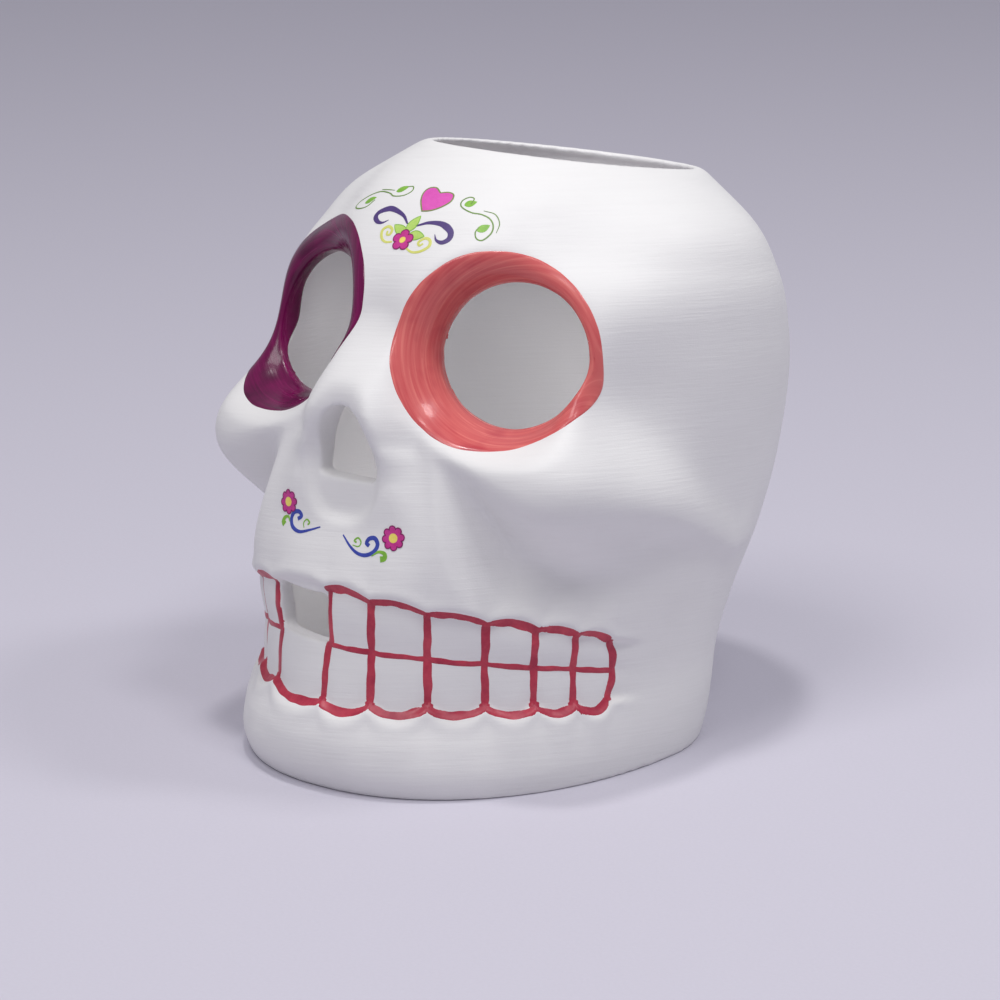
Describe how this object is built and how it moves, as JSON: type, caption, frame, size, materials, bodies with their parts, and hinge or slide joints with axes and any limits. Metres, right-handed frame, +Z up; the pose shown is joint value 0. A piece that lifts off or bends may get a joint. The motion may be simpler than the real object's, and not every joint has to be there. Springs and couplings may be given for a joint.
{
  "type": "ceramic sugar skull lantern",
  "caption": "Hollow ceramic sugar skull with an open crown and open eyes, nose and tooth gap, painted with enamel and small floral transfers",
  "frame": {"origin": "middle of the outline's box, on the table under the base", "axes": "+Z up, face towards -Y, the skull's own left towards +X"},
  "size_m": [0.1436, 0.1764, 0.1683],
  "materials": {
    "ceramic_body": "matte",
    "coral_enamel": "gloss",
    "plum_enamel": "gloss",
    "crimson_line": "satin",
    "pink_transfer": "satin",
    "magenta_transfer": "satin",
    "lemon_transfer": "satin",
    "leaf_transfer": "satin",
    "violet_transfer": "satin",
    "lime_transfer": "satin",
    "vine_transfer": "satin",
    "blue_transfer": "satin"
  },
  "bodies": {
    "root": {"skull_shell": "ceramic_body", "left_eye_enamel": "coral_enamel", "right_eye_enamel": "plum_enamel", "upper_tooth_outline_left": "crimson_line", "upper_tooth_outline_right": "crimson_line", "lower_tooth_outline": "crimson_line", "forehead_heart": "pink_transfer", "forehead_flower_petals": "magenta_transfer", "forehead_flower_centre": "lemon_transfer", "forehead_leaf_right": "leaf_transfer", "forehead_leaf_top": "leaf_transfer", "forehead_leaf_left": "leaf_transfer", "forehead_scroll_left": "violet_transfer", "forehead_curl_left": "lime_transfer", "forehead_vine_left": "vine_transfer", "forehead_scroll_right": "violet_transfer", "forehead_curl_right": "lime_transfer", "forehead_vine_right": "vine_transfer", "lip_flower_petals_left": "magenta_transfer", "lip_flower_centre_left": "lemon_transfer", "lip_scroll_left": "blue_transfer", "lip_tendril_inner_left": "vine_transfer", "lip_tendril_outer_left": "vine_transfer", "lip_flower_petals_right": "magenta_transfer", "lip_flower_centre_right": "lemon_transfer", "lip_scroll_right": "blue_transfer", "lip_tendril_inner_right": "vine_transfer", "lip_tendril_outer_right": "vine_transfer"}
  },
  "joints": []
}
